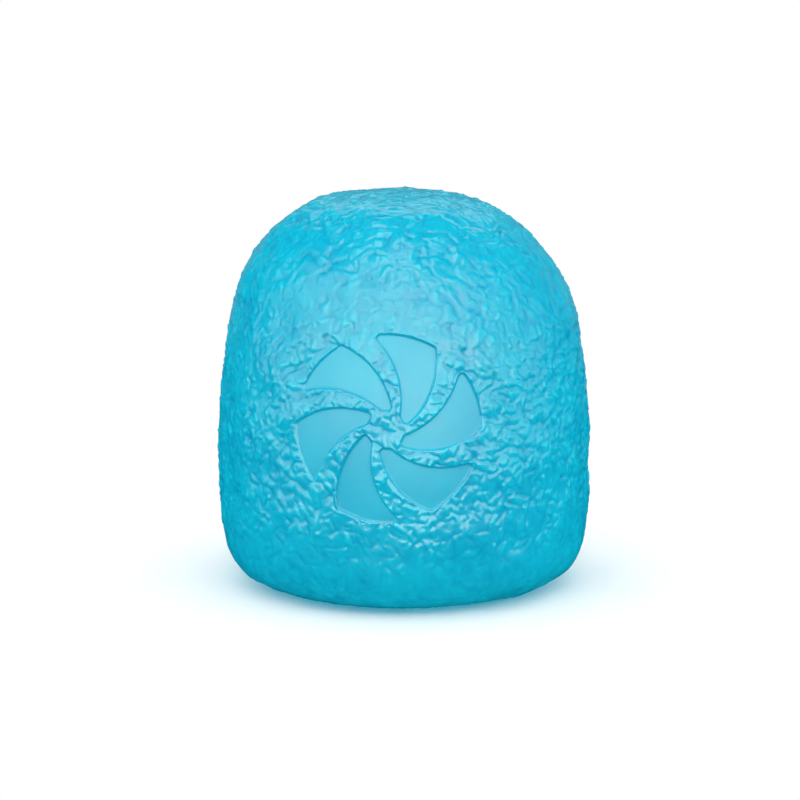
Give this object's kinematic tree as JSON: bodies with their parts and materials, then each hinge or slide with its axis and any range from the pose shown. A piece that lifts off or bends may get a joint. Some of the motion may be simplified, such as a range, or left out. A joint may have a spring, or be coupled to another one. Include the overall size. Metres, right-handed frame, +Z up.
{
  "type": "stress ball",
  "caption": "Gel-filled gumdrop-shaped squeeze toy with a pebbled translucent skin, a flat foot and a sunk pinwheel emblem, for squeezing in the hand.",
  "frame": {"origin": "centre of the flat foot, on the surface the toy stands on", "axes": "+Z up the toy's centre line from the foot to the crown; -Y towards the emblem"},
  "size_m": [0.07, 0.07, 0.0742],
  "materials": {
    "skin_tpr": "satin",
    "gel": "gloss",
    "plug_tpr": "satin",
    "cured_glue": "gloss"
  },
  "bodies": {
    "root": {"skin": "skin_tpr", "gel_filling": "gel", "fill_plug": "plug_tpr", "plug_adhesive": "cured_glue"}
  },
  "joints": []
}
